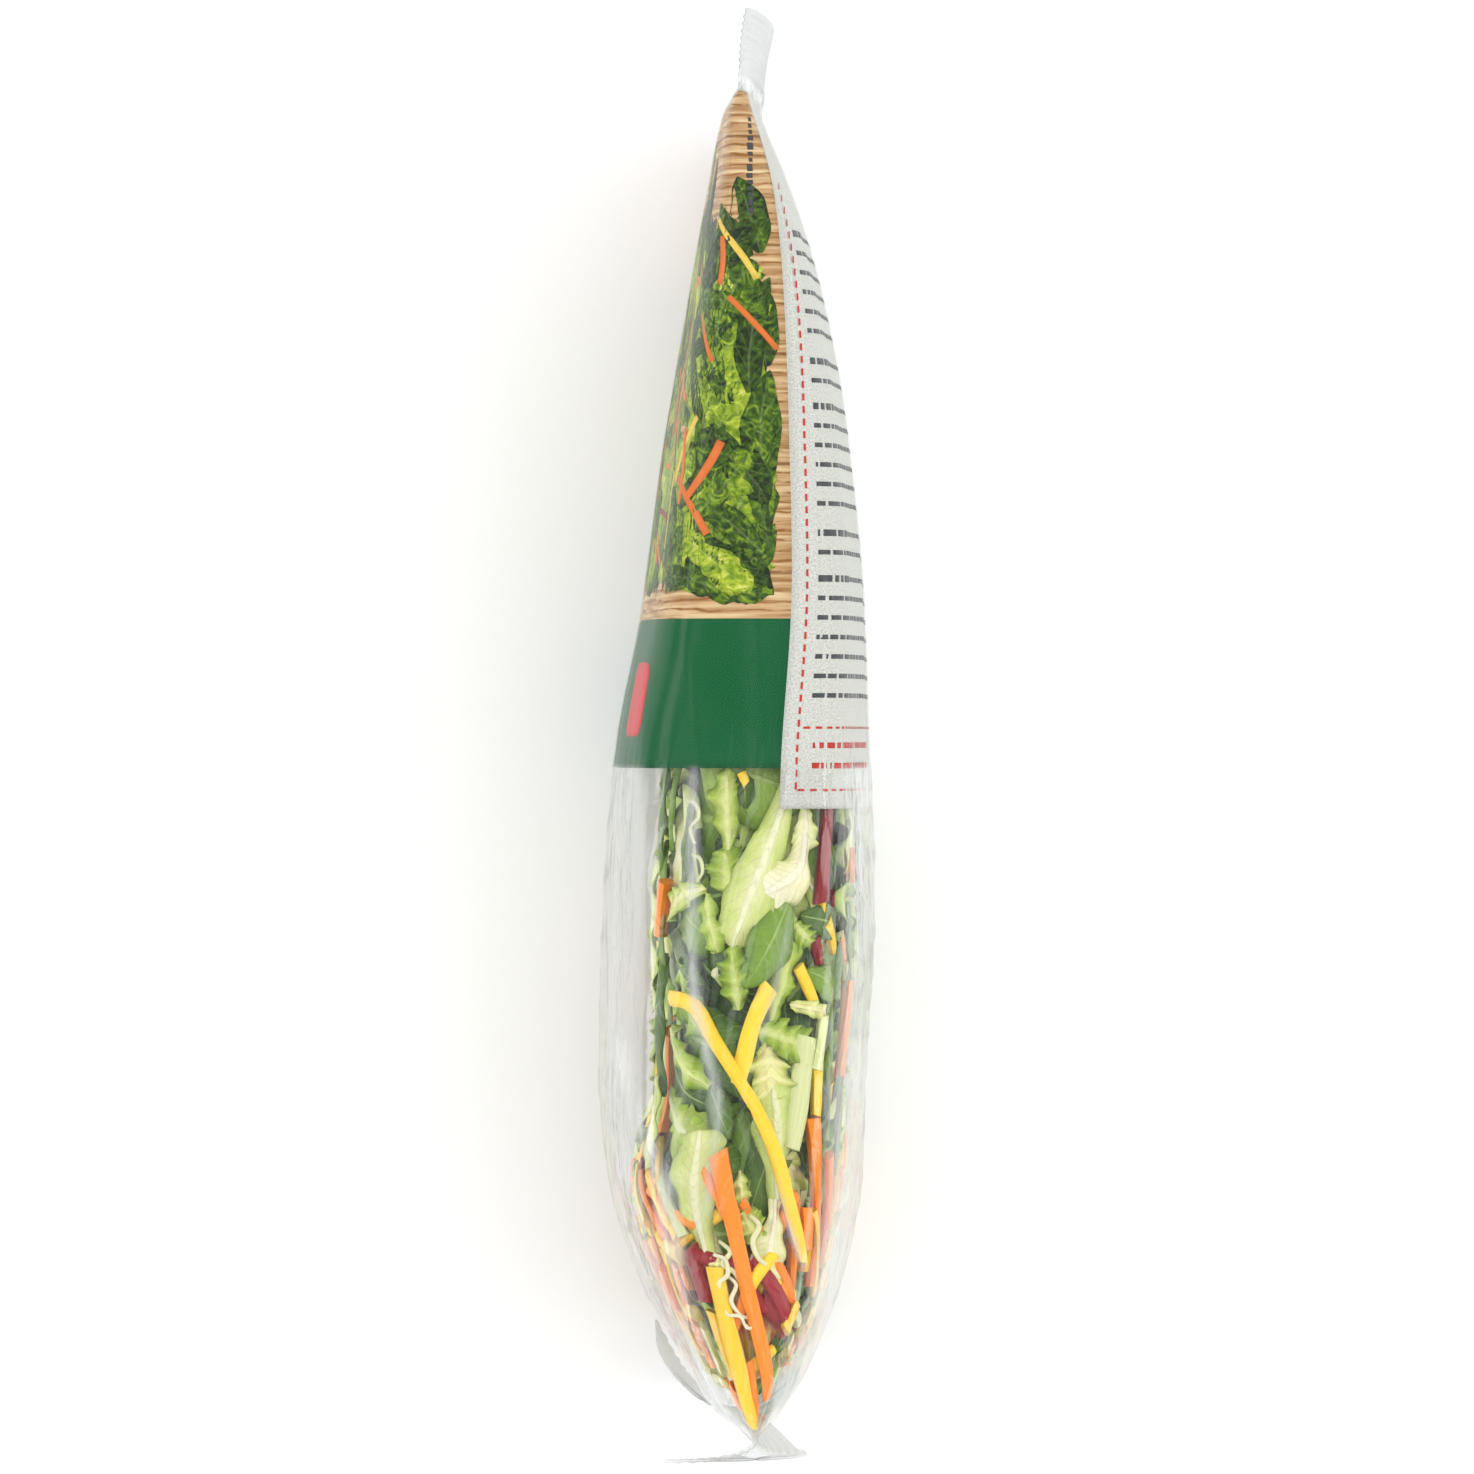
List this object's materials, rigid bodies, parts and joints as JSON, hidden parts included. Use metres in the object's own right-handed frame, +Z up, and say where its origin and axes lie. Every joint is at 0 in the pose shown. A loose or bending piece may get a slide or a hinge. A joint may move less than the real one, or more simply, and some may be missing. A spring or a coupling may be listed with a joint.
{
  "type": "bag of salad leaves",
  "caption": "Sealed clear pillow bag of mixed salad leaves and shredded vegetables, lying on a narrow side, printed over its upper half.",
  "frame": {"origin": "under the middle of the bag, on the surface that its lower narrow side rests on", "axes": "+Z up, +Y along the bag from its foot band to its head band, +X from the face with the picture to the face with the recipe panel"},
  "size_m": [0.0543, 0.28, 0.195],
  "materials": {
    "film": "gloss",
    "clear_film": "gloss",
    "printed_film": "gloss",
    "green_leaf": "satin",
    "curly_leaf": "satin",
    "pale_leaf": "satin",
    "carrot": "satin",
    "yellow_carrot": "satin",
    "beetroot": "satin"
  },
  "bodies": {
    "root": {"salad_bag": "film"}
  },
  "joints": []
}
